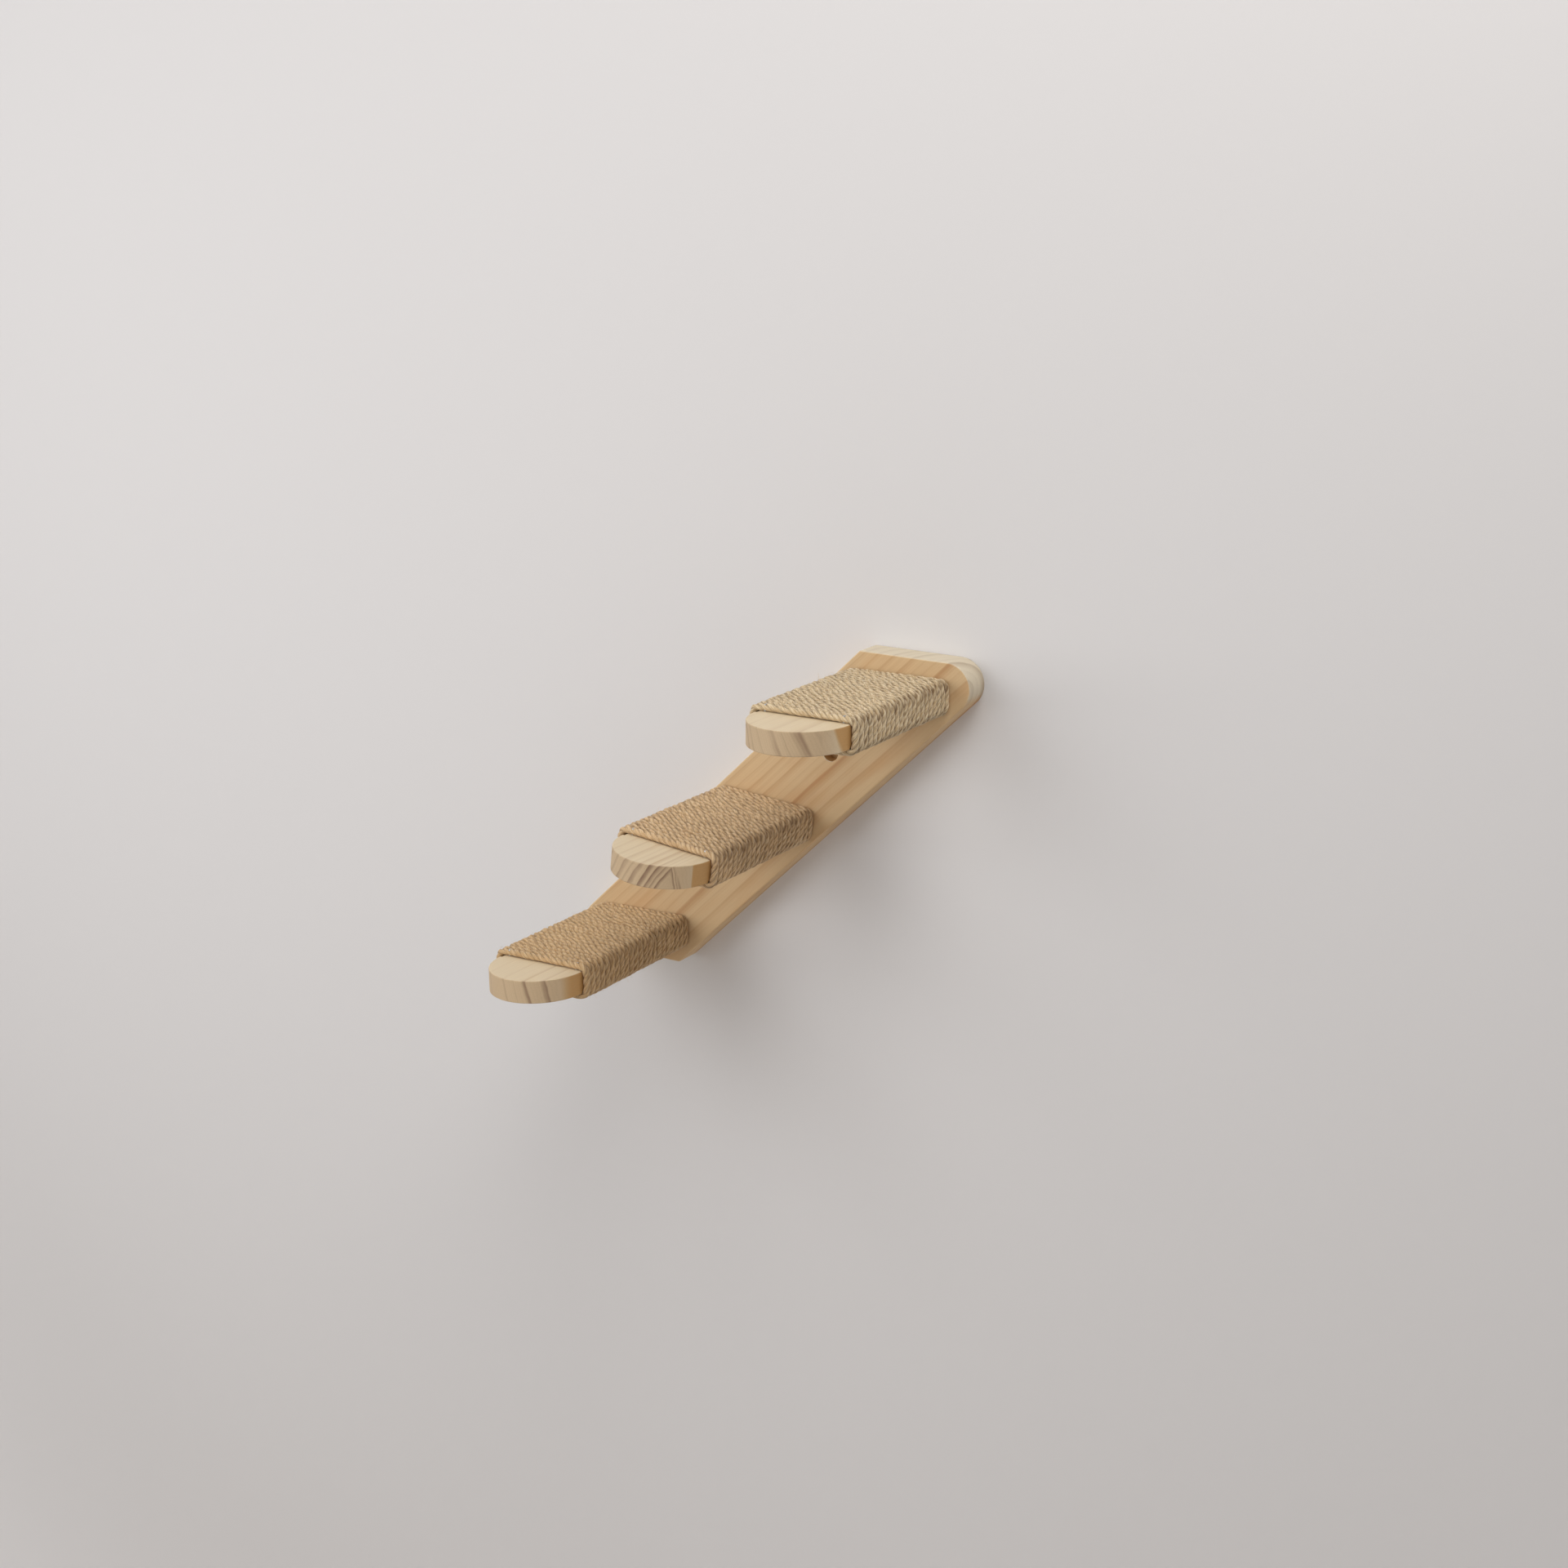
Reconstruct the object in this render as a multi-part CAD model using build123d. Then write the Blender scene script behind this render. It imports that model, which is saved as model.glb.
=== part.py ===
from build123d import *
import math
import os

# Cat ladder: three pine steps stand out from a slanting pine board that is screwed flat to a wall.
# Each step is wound with jute rope, and only its rounded nose is bare wood.
# The origin is the middle of the board's back face. X runs right along the wall, Y into the wall
# and Z up, so the steps point towards -Y. Lengths are in millimetres and angles in degrees.

# Wall board
board_thickness = 30.0
board_width = 105.0
board_height = 346.0
board_slope = 45.0
board_sharp_corner_radius = 24.0
board_blunt_corner_radius = 5.0
board_edge_round = 1.5

# Stepped holes for the two wall screws, halfway between the steps
wall_hole_diameter = 6.5
wall_screw_seat_diameter = 16.0
wall_screw_seat_depth = 12.0
wall_screw_seat_chamfer = 0.6

# Steps: level 1 is the top one, 0 the middle one and -1 the bottom one.
# The leans are how far each one is turned on the board, right side down.
# The end distance is from a level end of the board to the middle of the step beside it.
step_levels = {1: "top", 0: "middle", -1: "bottom"}
step_leans = {1: -1.0, 0: 5.0, -1: -2.0}
step_end_distance = 33.0
step_width = 95.0
step_thickness = 22.0
step_length = 230.0
nose_length = 52.0
nose_edge_round = 0.8

# Screws that hold each step, driven through the board from behind
screw_diameter = 5.0
screw_head_diameter = 9.6
screw_length = 80.0
screw_point_length = 7.0
screw_recess = 1.0
screw_spacing = 48.0
screw_slot_length = 5.0
screw_slot_width = 1.1
screw_slot_depth = 2.0
screw_pilot_clearance = 0.05
screw_board_clearance = 0.3

# Staples that hold the rope: the crown lies across one turn and the legs go in on each side of it.
# The end distance is from the start of the rope to the staple beside it.
staple_wire_width = 1.3
staple_wire_thickness = 0.5
staple_bite = 7.0
staple_clearance = 0.1
staple_side_offset = 40.0
staple_end_distance = 6.0

# Rope, wound as one layer from just past the start of the nose's curve to the board.
# The first loop's drift is how much nearer to the board it is on the left side. The others drift
# less and less over the top, and the last one lies flat against the board.
# The tail is the part of the first turn that lies under the step, in from the right side.
# The end drop is how far down the left side the rope ends.
rope_diameter = 7.2
rope_clearance = 0.3
rope_wall_gap = 1.2
rope_nose_overlap = 0.6
rope_first_drift = 4.0
rope_tail_length = 27.5
rope_end_drop = 20.0
rope_samples_per_side = 36

# Worked out from the sizes above
overrun = board_thickness
step_rise = board_height / 2 - step_end_distance
step_run = step_rise / math.tan(math.radians(board_slope))
rope_radius = rope_diameter / 2
rope_bend_radius = rope_diameter
rope_least_gap = staple_wire_thickness + 2 * staple_clearance
rope_offset = rope_radius + rope_clearance
rope_half_width = step_width / 2 + rope_offset
rope_half_height = step_thickness / 2 + rope_offset
rope_front = step_length - nose_length + rope_nose_overlap
rope_first = rope_front - rope_radius
rope_last = rope_wall_gap + rope_radius
rope_first_left = rope_first - rope_first_drift
rope_gaps = math.floor((rope_first_left - rope_last) / (rope_diameter + rope_least_gap))
rope_loops = rope_gaps + 1
rope_right_pitch = (rope_first - rope_last) / rope_gaps
rope_left_pitch = (rope_first_left - rope_last) / rope_gaps
rope_start = step_width / 2 - rope_tail_length
rope_seat_length = rope_front + rope_clearance
rope_seat_round = rope_bend_radius - rope_offset


def board_outline():
    """The board's front outline: level ends, sloping sides, the two sharp corners well rounded."""
    half_chord = board_width / math.sin(math.radians(board_slope)) / 2
    top = board_height / 2
    shift = top / math.tan(math.radians(board_slope))
    corners = [(shift - half_chord, top), (shift + half_chord, top),
               (half_chord - shift, -top), (-half_chord - shift, -top)]
    outline = make_face(Polyline(*corners, close=True))
    sharp = [outline.vertices().sort_by(Axis.X)[place] for place in (0, -1)]
    outline = fillet(sharp, board_sharp_corner_radius)
    blunt = [outline.vertices().sort_by_distance(corner)[0] for corner in (corners[0], corners[2])]
    return fillet(blunt, board_blunt_corner_radius)


def board_blank():
    """The board before drilling, with its front edges eased. Its back lies in the wall plane."""
    blank = extrude(Plane.XZ * board_outline(), board_thickness)
    return fillet(blank.faces().sort_by(Axis.Y)[0].edges(), board_edge_round)


def turned(profile):
    """A solid of revolution about Y from points of radius and Y."""
    return revolve(make_face(Polyline(*profile, close=True)), Axis.Y)


def wall_hole_cut():
    """A stepped hole: the screw's head sinks into the wide part, and its shank passes through."""
    hole, seat = wall_hole_diameter / 2, wall_screw_seat_diameter / 2
    front = -board_thickness
    floor = front + wall_screw_seat_depth
    return turned([(0, overrun), (hole, overrun), (hole, floor), (seat, floor),
                   (seat, front + wall_screw_seat_chamfer), (seat + wall_screw_seat_chamfer, front),
                   (seat + wall_screw_seat_chamfer, front - overrun), (0, front - overrun)])


def step_place(level):
    """A step's own frame: the origin is the middle of its root on the board's front face."""
    return Location((level * step_run, -board_thickness, level * step_rise), (0, step_leans[level], 0))


def screw_places():
    return [Pos(side * screw_spacing / 2, 0, 0) for side in (-1, 1)]


def screw_shape(clearance):
    """A countersunk wood screw in the step's frame, fatter by a clearance."""
    shank, head = screw_diameter / 2, screw_head_diameter / 2
    top = board_thickness - screw_recess
    neck = top - (head - shank)
    tip = top - screw_length
    return turned([(0, top), (head + clearance, top), (shank + clearance, neck),
                   (shank + clearance, tip + screw_point_length), (0, tip - clearance)])


def step_screw():
    top = board_thickness - screw_recess
    slot = Box(screw_slot_length, 2 * screw_slot_depth, screw_slot_width)
    cross = slot + Box(screw_slot_width, 2 * screw_slot_depth, screw_slot_length)
    return screw_shape(0) - Pos(0, top, 0) * cross


def screw_cut():
    """What a screw needs in the wood: a pilot hole in the step, and room with a sunk seat in the board."""
    shank, head = screw_diameter / 2 + screw_board_clearance, screw_head_diameter / 2 + screw_board_clearance
    top = board_thickness - screw_recess
    neck = top - (head - shank)
    room = turned([(0, top + overrun), (head, top + overrun), (head, top), (shank, neck),
                   (shank, 0), (0, 0)])
    return screw_shape(screw_pilot_clearance) + room


def rope_distance(loop, across, over):
    """How far the rope's middle is from the board, at a place across the step.

    A loop comes in underneath from the left, and goes up the right side, over the top and down the
    left side.
    """
    right = rope_first - loop * rope_right_pitch
    left = rope_first_left - (loop if over else loop - 1) * rope_left_pitch
    return right + (left - right) * (rope_half_width - across) / (2 * rope_half_width)


def rope_slant(loop, over):
    """How many degrees the rope turns from square across the step, as seen on the face it lies on."""
    drift = rope_distance(loop, rope_half_width, over) - rope_distance(loop, -rope_half_width, over)
    return -math.degrees(math.atan2(abs(drift), 2 * rope_half_width))


def rope_corners():
    """The corners of the rope's route: each loop goes up the right side and down the left side."""
    points = [(rope_start, -rope_distance(0, rope_start, False), -rope_half_height)]
    for loop in range(rope_loops):
        left, right = rope_distance(loop, -rope_half_width, True), rope_distance(loop, rope_half_width, True)
        points += [(rope_half_width, -right, -rope_half_height), (rope_half_width, -right, rope_half_height),
                   (-rope_half_width, -left, rope_half_height), (-rope_half_width, -left, -rope_half_height)]
    points[-1] = (-rope_half_width, -rope_last, rope_half_height - rope_end_drop)
    return points


def rope_wrap():
    """One unbroken tube along the whole winding."""
    corners = rope_corners()
    route = FilletPolyline(*corners, radius=[rope_bend_radius] * (len(corners) - 2))
    start = Plane(origin=route @ 0, z_dir=route % 0)
    tube = sweep(start * Circle(rope_radius), path=route)
    report_rope(route, tube)
    return tube


def report_rope(route, tube):
    """Print the rope's length, its volume against a plain tube's, and the least gap between turns."""
    count = rope_loops * 4 * rope_samples_per_side
    points = [route @ (place / count) for place in range(count + 1)]
    apart = 3 * rope_samples_per_side
    gap = min((a - b).length for i, a in enumerate(points)
              for b in points[i + apart:i + apart + 2 * rope_samples_per_side]) - rope_diameter
    share = tube.volume / (math.pi * rope_radius ** 2 * route.length)
    print(f"rope: {rope_loops} loops, length {route.length:.0f} mm, pitch {rope_left_pitch:.2f} to "
          f"{rope_right_pitch:.2f} mm, least gap {gap:.2f} mm, volume against a straight tube {share:.4f}")


def staple_shape(bite_clearance):
    """A staple over a turn that runs along X on the top face. Its legs go down into the wood."""
    leg_apart = rope_left_pitch / 2
    crown_height = rope_offset + rope_radius + staple_clearance
    width = staple_wire_width + 2 * bite_clearance
    wire = staple_wire_thickness + 2 * bite_clearance
    leg_height = crown_height + staple_wire_thickness + staple_bite + bite_clearance
    leg = Box(width, wire, leg_height, align=(Align.CENTER, Align.CENTER, Align.MAX))
    crown = Box(width, 2 * leg_apart + wire, wire, align=(Align.CENTER, Align.CENTER, Align.MAX))
    return Pos(0, 0, crown_height + staple_wire_thickness) * (
        crown + Pos(0, leg_apart, 0) * leg + Pos(0, -leg_apart, 0) * leg)


def staple_places():
    """Two staples over the first loop on top, and one underneath near each end of the rope."""
    places = []
    for across in (-staple_side_offset, staple_side_offset):
        spot = (across, -rope_distance(0, across, True), step_thickness / 2)
        places.append(Location(spot, (0, 0, rope_slant(0, True))))
    for loop, across in ((0, rope_start + staple_end_distance), (rope_loops - 1, -staple_side_offset)):
        spot = (across, -rope_distance(loop, across, False), -step_thickness / 2)
        places.append(Location(spot, (180, 0, rope_slant(loop, False))))
    return places


def step_wood():
    """One plank: a straight part whose long edges are rounded for the rope, and a crisp nose."""
    half, straight = step_width / 2, step_length - nose_length
    outline = make_face([Line((-half, 0), (-half, -straight)),
                         EllipticalCenterArc((0, -straight), half, nose_length,
                                             start_angle=180, arc_size=180),
                         Line((half, -straight), (half, 0)),
                         Line((half, 0), (-half, 0))])
    plank = extrude(outline, step_thickness / 2, both=True)
    rim = [edge for edge in plank.edges().filter_by(Plane.XY) if edge.center().Y < -nose_edge_round]
    plank = fillet(rim, nose_edge_round)
    block = Box(step_width, rope_seat_length, step_thickness, align=(Align.CENTER, Align.MAX, Align.CENTER))
    seat = fillet(block.edges().filter_by(Axis.Y), rope_seat_round)
    plank -= block - seat
    for place in screw_places():
        plank -= place * screw_cut()
    for place in staple_places():
        plank -= place * staple_shape(staple_clearance / 2)
    return plank


def save(name, shape):
    export_step(shape, os.path.join("parts", name + ".step"))


os.makedirs("parts", exist_ok=True)

board = board_blank()
for end in (-1, 1):
    board -= Pos(end * step_run / 2, 0, end * step_rise / 2) * wall_hole_cut()
for level in step_levels:
    for place in screw_places():
        board -= step_place(level) * place * screw_cut()
save("wall_board", board)

plank = step_wood()
rope = rope_wrap()
screws = Compound(children=[place * step_screw() for place in screw_places()])
staples = Compound(children=[place * staple_shape(0) for place in staple_places()])
for level, name in step_levels.items():
    place = step_place(level)
    save("step_" + name, place * plank)
    save("rope_wrap_" + name, place * rope)
    save("step_screws_" + name, place * screws)
    save("rope_staples_" + name, place * staples)
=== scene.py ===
import math

import bmesh
import bpy
import numpy as np
from mathutils import Euler, Matrix, Vector


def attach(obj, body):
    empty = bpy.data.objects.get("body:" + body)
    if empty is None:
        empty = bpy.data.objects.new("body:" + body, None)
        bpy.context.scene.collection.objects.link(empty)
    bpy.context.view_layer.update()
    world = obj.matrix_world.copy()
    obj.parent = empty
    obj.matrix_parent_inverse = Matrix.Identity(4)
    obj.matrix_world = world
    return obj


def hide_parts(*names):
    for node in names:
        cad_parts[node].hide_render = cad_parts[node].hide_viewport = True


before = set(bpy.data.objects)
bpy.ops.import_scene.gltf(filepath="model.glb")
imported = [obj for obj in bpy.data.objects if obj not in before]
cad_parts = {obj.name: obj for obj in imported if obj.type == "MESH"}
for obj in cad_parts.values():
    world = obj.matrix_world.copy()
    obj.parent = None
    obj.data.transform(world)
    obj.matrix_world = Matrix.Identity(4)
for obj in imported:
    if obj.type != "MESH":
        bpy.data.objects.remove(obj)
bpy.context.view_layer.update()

# Wall board
# One length of pine, planed and sanded bare, with level ends cut at 45 degrees. Its two sharp corners
# are well rounded. Its heart ran near the lower right edge, so the rings cross the left of the board
# almost square to its face and lie flat at the right, and show as warm streaks along the slope.

MM = 0.001
BOARD_THICKNESS = 30
BOARD_SLOPE = 45
# The wall holes' distance from the board's middle, up and down the slope, and their seats' radius. As
# painted shade, the wood is browner as far out as the seat's wall, but not in the back face's skin.
HOLE_PLACE = 99
HOLE_SEAT_RADIUS = 8
SEAT_WALL = 0.1
BACK_SKIN = 0.5
HOLE_SHADE_TONE = "#C09A68"

# How the rings wander: sizes across and along the grain and the reach, all in mm
WANDER = [(45, 220, 4.5), (14, 70, 1.2)]
# The pitch of the faint rings, and the sizes across and along the grain of the fibres and the clouds
FINE_RING = 2.6
FIBRE, FIBRE_RUN = 0.7, 40
CLOUD, CLOUD_RUN = 22, 90
GRAIN_RELIEF = 0.12
# A place across a plank that is past its edge, for what it doesn't have
PAST_EDGE = 500

BOARD_TONES = ("#D9BC92", "#B28052", "#CC9C68")
BOARD_END_TONES = ("#DACEB7", "#B7A68E")
# Each ring's late wood: its distance from the heart in mm, how wide it is and how dark, as a share
BOARD_GRAIN = {
    "rings": [(14, 7, 0.5), (24, 4, 0.22), (36, 9, 0.95), (46, 4, 0.3), (53, 3, 0.2), (63, 6, 0.6),
              (70, 3, 0.25), (77, 5, 0.5), (87, 4, 0.3), (97, 4, 0.35)],
    "heart": (48, -36), "stretch": 1, "lean": (0, 0), "calm": (PAST_EDGE, 0),
    "side_zone": (PAST_EDGE, 10, 0, BOARD_TONES[2]),
}


def linear(colour):
    """An sRGB hex colour as linear red, green, blue and alpha."""
    shares = [int(colour[place:place + 2], 16) / 255 for place in (1, 3, 5)]
    return [c / 12.92 if c <= 0.04045 else ((c + 0.055) / 1.055) ** 2.4 for c in shares] + [1]


def add_node(tree, kind, links=(), stops=(), output=None, **settings):
    """Add a node and return its output.

    Settings name its properties. Links give its inputs, by name or in order, a value or another
    node's output. Stops fill a colour ramp.
    """
    node = tree.nodes.new("ShaderNode" + kind)
    for name, value in settings.items():
        setattr(node, name, value)
    for name, value in links.items() if isinstance(links, dict) else enumerate(links):
        if isinstance(name, str):
            socket = [s for s in node.inputs if s.enabled and s.name == name][0]
        else:
            socket = node.inputs[name]
        if isinstance(value, bpy.types.NodeSocket):
            tree.links.new(value, socket)
        else:
            socket.default_value = value
    for number, (place, colour) in enumerate(stops):
        elements = node.color_ramp.elements
        element = elements[number] if number < 2 else elements.new(place)
        element.position, element.color = place, colour
    outputs = [s for s in node.outputs if s.enabled and output in (None, s.name)]
    return outputs[0] if outputs else node


def new_material(name):
    """An empty material and its node tree."""
    material = bpy.data.materials.new(name)
    material.use_nodes = True
    material.node_tree.nodes.clear()
    return material, material.node_tree


def ring_stops(rings, span):
    """Colour ramp stops, black for early wood: each ring darkens slowly and ends sharply."""
    stops = [(0, (0, 0, 0, 1))]
    for place, width, strength in rings:
        dark = (strength, strength, strength, 1)
        stops += [((place - width) / span, (0, 0, 0, 1)), (place / span, dark),
                  ((place + width * 0.2) / span, (0, 0, 0, 1))]
    return stops


def pine(name, place, turn, long_tones, end_tones, long_strength, streak_reach, rings, heart, stretch,
         lean, calm, side_zone):
    """Bare planed pine.

    The plank's own axes, by its place and turn, lie across it, through it and along its grain. Its tones
    are early and late wood, and the long faces have a third, warmer one. The long strength is how
    strongly the late wood shows there, and the streak reach how much the fibres vary the tone. The
    rings lie round the heart, a point across and through the plank in mm. Where the heart isn't square
    to the plank, they are stretched through it and lean across it. They fade out in the calm wood:
    where it starts across the plank, and its slope. The side zone is a darker, warmer tone on one long
    side: where it starts, how soft its edge is, its slope and its tone.
    """
    material, tree = new_material(name)

    here = add_node(tree, "TexCoord", output="Object")
    wood = add_node(tree, "Mapping", {"Vector": here, "Location": place, "Rotation": turn,
                                      "Scale": (MM, MM, MM)}, vector_type="TEXTURE")
    facing = add_node(tree, "NewGeometry", output="Normal")
    shares = []
    for axis in ((1, 0, 0), (0, 1, 0), (0, 0, 1)):
        own_axis = Euler(turn).to_matrix() @ Vector(axis)
        shares.append(add_node(tree, "VectorMath", [facing, own_axis], operation="DOT_PRODUCT",
                               output="Value"))

    # The rings wander slowly along the grain, and a little faster across it
    shifted = wood
    for across_size, along_size, reach in WANDER:
        size = (1 / across_size, 1 / across_size, 1 / along_size)
        slow = add_node(tree, "VectorMath", [wood, size], operation="MULTIPLY")
        cloud = add_node(tree, "TexNoise", {"Vector": slow, "Scale": 1, "Detail": 1}, output="Color")
        shift = add_node(tree, "VectorMath", [cloud, (2 * reach, 2 * reach, 0), (-reach, -reach, 0)],
                         operation="MULTIPLY_ADD")
        shifted = add_node(tree, "VectorMath", [shifted, shift], operation="ADD")
    across = add_node(tree, "SeparateXYZ", {"Vector": shifted}, output="X")
    across = add_node(tree, "Math", [across, heart[0]], operation="SUBTRACT")
    through = add_node(tree, "SeparateXYZ", {"Vector": shifted}, output="Y")
    deep = add_node(tree, "Math", [through, stretch, -heart[1] * stretch], operation="MULTIPLY_ADD")
    radius = add_node(tree, "VectorMath", [add_node(tree, "CombineXYZ", {"X": across, "Y": deep})],
                      operation="LENGTH", output="Value")
    distance = add_node(tree, "Math", [across, lean[0], radius], operation="MULTIPLY_ADD")
    distance = add_node(tree, "Math", [through, lean[1], distance], operation="MULTIPLY_ADD")
    span = rings[-1][0] + 2 * rings[-1][1]
    ring = add_node(tree, "ValToRGB", [add_node(tree, "Math", [distance, span], operation="DIVIDE")],
                    stops=ring_stops(rings, span), output="Color")
    side = add_node(tree, "SeparateXYZ", {"Vector": wood}, output="X")
    height = add_node(tree, "SeparateXYZ", {"Vector": wood}, output="Y")
    own = add_node(tree, "Math", [height, calm[1], side], operation="MULTIPLY_ADD")
    lively = add_node(tree, "MapRange", {"Value": own, "From Min": calm[0] - 0.7, "From Max": calm[0] + 0.7,
                                         "To Min": 1, "To Max": 0})
    ring = add_node(tree, "Math", [ring, lively], operation="MULTIPLY")

    # Thin faint rings between the strong ones, fibres under a millimetre wide, and slow clouds of tone
    fine = add_node(tree, "Math", [distance, 2 * math.pi / FINE_RING], operation="MULTIPLY")
    fine = add_node(tree, "Math", [fine], operation="SINE")
    strip = add_node(tree, "VectorMath", [wood, (1 / FIBRE, 1 / FIBRE, 1 / FIBRE_RUN)],
                     operation="MULTIPLY")
    fibre = add_node(tree, "TexNoise", {"Vector": strip, "Scale": 1, "Detail": 3, "Roughness": 0.6},
                     output="Fac")
    patch = add_node(tree, "VectorMath", [wood, (1 / CLOUD, 1 / CLOUD, 1 / CLOUD_RUN)],
                     operation="MULTIPLY")
    cloud = add_node(tree, "TexNoise", {"Vector": patch, "Scale": 1, "Detail": 2}, output="Fac")
    swell = add_node(tree, "MapRange", {"Value": cloud, "From Min": 0.35, "From Max": 0.65, "To Min": 0.65,
                                        "To Max": 1.15})

    # Cut square across the grain the rings are plain and greyish, and along it they are warm and faint
    late = add_node(tree, "Math", [fine, 0.05, ring], operation="MULTIPLY_ADD")
    late = add_node(tree, "Math", [late, swell], operation="MULTIPLY")
    long_late = add_node(tree, "Math", [late, long_strength], operation="MULTIPLY")
    warm = add_node(tree, "MapRange", {"Value": cloud, "From Min": 0.5, "From Max": 0.75, "To Max": 0.4})
    long_tone = add_node(tree, "Mix", {"Factor": long_late, "A": linear(long_tones[0]),
                                       "B": linear(long_tones[1])}, data_type="RGBA", clamp_factor=True)
    long_tone = add_node(tree, "Mix", {"Factor": warm, "A": long_tone, "B": linear(long_tones[2])},
                         data_type="RGBA")
    end_tone = add_node(tree, "Mix", {"Factor": late, "A": linear(end_tones[0]), "B": linear(end_tones[1])},
                        data_type="RGBA", clamp_factor=True)
    squareness = add_node(tree, "Math", [shares[2]], operation="ABSOLUTE")
    end_share = add_node(tree, "MapRange", {"Value": squareness, "From Min": 0.12, "From Max": 0.6},
                         interpolation_type="SMOOTHSTEP")
    tone = add_node(tree, "Mix", {"Factor": end_share, "A": long_tone, "B": end_tone}, data_type="RGBA")

    # The darker, warmer tone of one long side doesn't show on the two broad faces
    start, soft, slope, side_tone = side_zone
    own = add_node(tree, "Math", [height, slope, side], operation="MULTIPLY_ADD")
    zone = add_node(tree, "MapRange", {"Value": own, "From Min": start - soft, "From Max": start + soft},
                    interpolation_type="SMOOTHSTEP")
    flat = add_node(tree, "Math", [shares[1], shares[1]], operation="MULTIPLY")
    flat = add_node(tree, "Math", [1, flat], operation="SUBTRACT")
    zone = add_node(tree, "Math", [zone, flat], operation="MULTIPLY")
    tone = add_node(tree, "Mix", {"Factor": zone, "A": tone, "B": linear(side_tone)}, data_type="RGBA")
    streak = add_node(tree, "MapRange", {"Value": fibre, "From Min": 0.25, "From Max": 0.75,
                                         "To Min": 1 - 1.3 * streak_reach, "To Max": 1 + streak_reach})
    tone = add_node(tree, "VectorMath", {0: tone, "Scale": streak}, operation="SCALE")

    relief = add_node(tree, "Math", [ring, 0.5, fibre], operation="MULTIPLY_ADD")
    bump = add_node(tree, "Bump", {"Height": relief, "Strength": 0.25, "Distance": GRAIN_RELIEF * MM})
    roughness = add_node(tree, "MapRange", {"Value": fibre, "To Min": 0.52, "To Max": 0.7})
    surface = add_node(tree, "BsdfPrincipled", {"Base Color": tone, "Roughness": roughness, "Normal": bump,
                                                "IOR": 1.5})
    add_node(tree, "OutputMaterial", {"Surface": surface})
    return material


def dress(name, material):
    """Give a CAD node its only material."""
    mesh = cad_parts[name].data
    mesh.materials.clear()
    mesh.materials.append(material)


board_turn = (0, math.radians(BOARD_SLOPE), 0)
board_pine = pine("pine_board_planed", (0, 0, 0), board_turn, BOARD_TONES, BOARD_END_TONES,
                  long_strength=0.78, streak_reach=0.03, **BOARD_GRAIN)

# Painted shade: the walls of the wall holes are painted browner than the faces, for the shade in them
tree = board_pine.node_tree
colour = [node for node in tree.nodes if node.type == "BSDF_PRINCIPLED"][0].inputs["Base Color"]
here = add_node(tree, "TexCoord", output="Object")
wood = add_node(tree, "Mapping", {"Vector": here, "Rotation": board_turn}, vector_type="TEXTURE")
wood = add_node(tree, "VectorMath", [wood], operation="ABSOLUTE")
off = add_node(tree, "VectorMath", [wood, (0, 0, HOLE_PLACE * MM)], operation="SUBTRACT")
off = add_node(tree, "VectorMath", [off, (1, 0, 1)], operation="MULTIPLY")
off = add_node(tree, "VectorMath", [off], operation="LENGTH", output="Value")
hole_shade = add_node(tree, "Math", [off, (HOLE_SEAT_RADIUS + SEAT_WALL) * MM], operation="LESS_THAN")
deep = add_node(tree, "Math", [add_node(tree, "SeparateXYZ", [here], output="Y"), -BACK_SKIN * MM],
                operation="LESS_THAN")
hole_shade = add_node(tree, "Math", [hole_shade, deep], operation="MULTIPLY")
tone = add_node(tree, "Mix", {"Factor": hole_shade, "A": colour.links[0].from_socket,
                              "B": linear(HOLE_SHADE_TONE)}, data_type="RGBA")
tree.links.new(tone, colour)
dress("wall_board", board_pine)


# Steps
# Three planks of pine with a half-oval nose, sawn and sanded. Each is cut from another board, so its
# rings differ: they show as stripes on the sawn nose and as faint lines along its top.

STEP_LEVELS = {1: "top", 0: "middle", -1: "bottom"}
# How far each one is turned on the board, right side down, in degrees
STEP_LEANS = {1: -1.0, 0: 5.0, -1: -2.0}
STEP_SPACING = 140

STEP_TONES = ("#D9C8AA", "#AE8B68", "#D3B88B")
STEP_END_TONES = ("#CAB291", "#856751")
STEP_SIDE_TONE = "#C0965F"
STEP_GRAIN = {
    1: {"rings": [(6, 3, 0.5), (13, 3, 0.35), (24, 3, 0.25), (41, 7, 0.5), (50, 3, 0.2), (64, 8, 0.6),
                  (75, 3, 0.2)],
        "heart": (-36, 0), "stretch": 0.3, "lean": (0, 0.38), "calm": (38, 0),
        "side_zone": (44.8, 0.8, 0.13, STEP_SIDE_TONE)},
    0: {"rings": [(3.2, 1.8, 0.85), (5.6, 1.4, 0.6), (8.2, 2.3, 0.85), (12.4, 3.1, 1.0), (18, 3.1, 0.85),
                  (21.7, 1.5, 0.4), (26, 2.8, 0.7), (33, 2.5, 0.5), (40, 2.5, 0.5)],
        "heart": (31, 10), "stretch": 0.1, "lean": (0.44, 0.31), "calm": (35.8, 0.215),
        "side_zone": (43, 0.4, 0, STEP_SIDE_TONE)},
    -1: {"rings": [(34, 3, 0.3), (57, 2.5, 0.45), (68, 2, 0.2), (80, 4, 0.8), (94, 4, 0.8),
                   (104, 2, 0.25)],
         "heart": (-60, 0), "stretch": 0.3, "lean": (0, 0.2), "calm": (PAST_EDGE, 0),
         "side_zone": (43, 3, 0, STEP_SIDE_TONE)},
}


def step_frame(level):
    """The matrix of a step: its origin is the middle of its root on the board's front face."""
    place = Vector((level * STEP_SPACING, -BOARD_THICKNESS, level * STEP_SPACING)) * MM
    return Matrix.Translation(place) @ Matrix.Rotation(math.radians(STEP_LEANS[level]), 4, "Y")


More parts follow.
